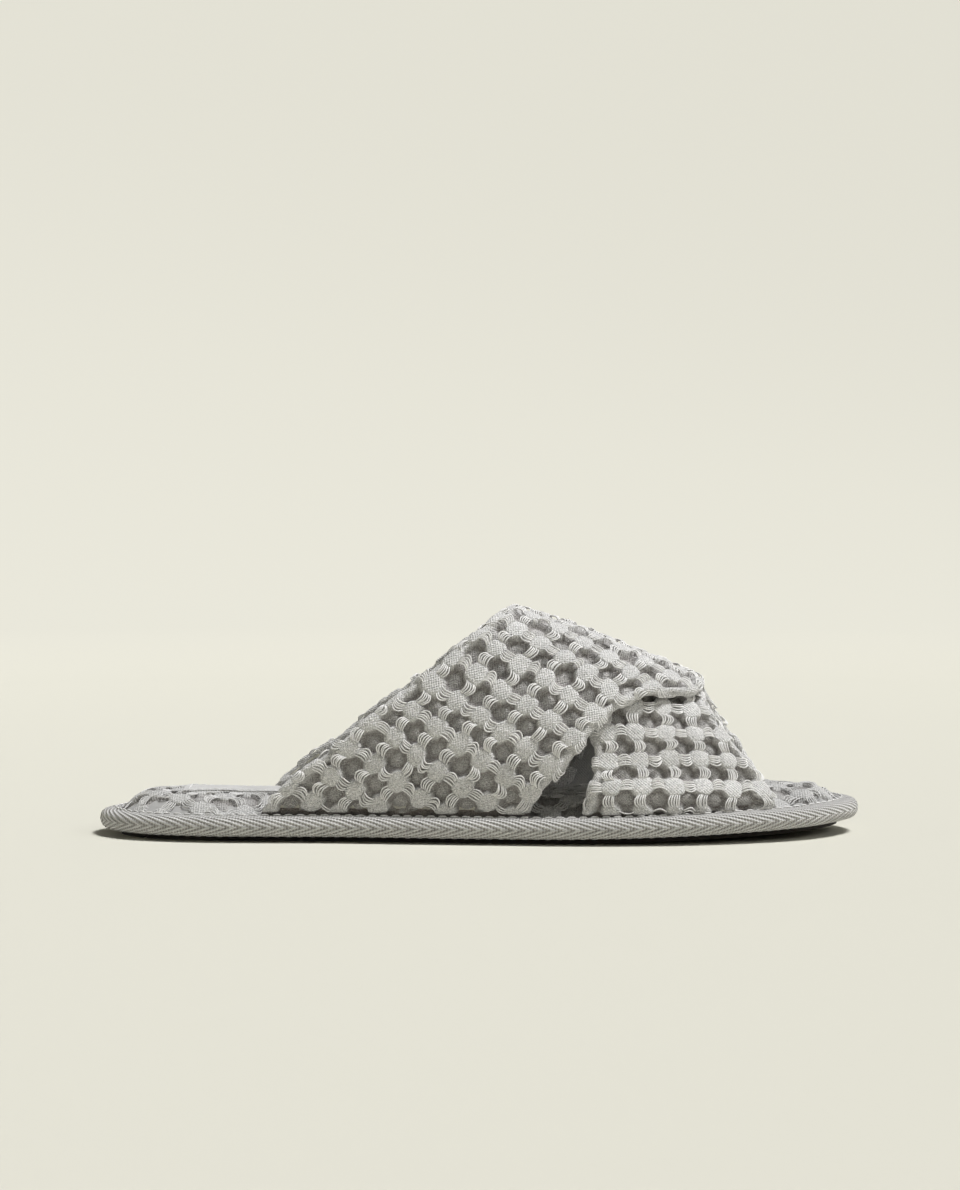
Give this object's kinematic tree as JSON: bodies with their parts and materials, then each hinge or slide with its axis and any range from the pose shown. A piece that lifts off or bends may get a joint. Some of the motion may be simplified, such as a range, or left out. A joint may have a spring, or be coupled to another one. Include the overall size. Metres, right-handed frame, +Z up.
{
  "type": "spa slipper",
  "caption": "Open-toe, open-heel slipper: two padded waffle-cloth straps cross over the instep and are bound by tape to a padded, waffle-covered sole.",
  "frame": {"origin": "on the ground, under the middle of the sole's bounding box", "axes": "+X from heel to toe, +Z up, +Y towards the inner (big toe) side of the foot"},
  "size_m": [0.265, 0.0978, 0.0796],
  "materials": {
    "waffle_cloth": "soft open waffle weave in cotton, light grey",
    "lining_cloth": "plain weave cotton, grey",
    "binding_tape": "herringbone twill tape, grey",
    "label_cloth": "plain woven patch, grey",
    "thread": "twisted sewing thread, grey",
    "foam": "soft open-cell foam",
    "board": "foamed plastic board",
    "outsole": "matt, with shallow chevron grooves"
  },
  "bodies": {
    "root": {"outsole": "outsole", "midsole_board": "board", "footbed_foam": "foam", "footbed_backing": "lining_cloth", "footbed_cover": "waffle_cloth", "edge_binding": "binding_tape", "binding_top_stitches": "thread", "binding_bottom_stitches": "thread", "heel_label": "label_cloth", "heel_label_stitches": "thread", "over_strap_waffle": "waffle_cloth", "over_strap_foam": "foam", "over_strap_lining": "lining_cloth", "over_strap_seam_stitches": "thread", "over_strap_end_stitches": "thread", "under_strap_waffle": "waffle_cloth", "under_strap_foam": "foam", "under_strap_lining": "lining_cloth", "under_strap_seam_stitches": "thread", "under_strap_end_stitches": "thread"}
  },
  "joints": []
}
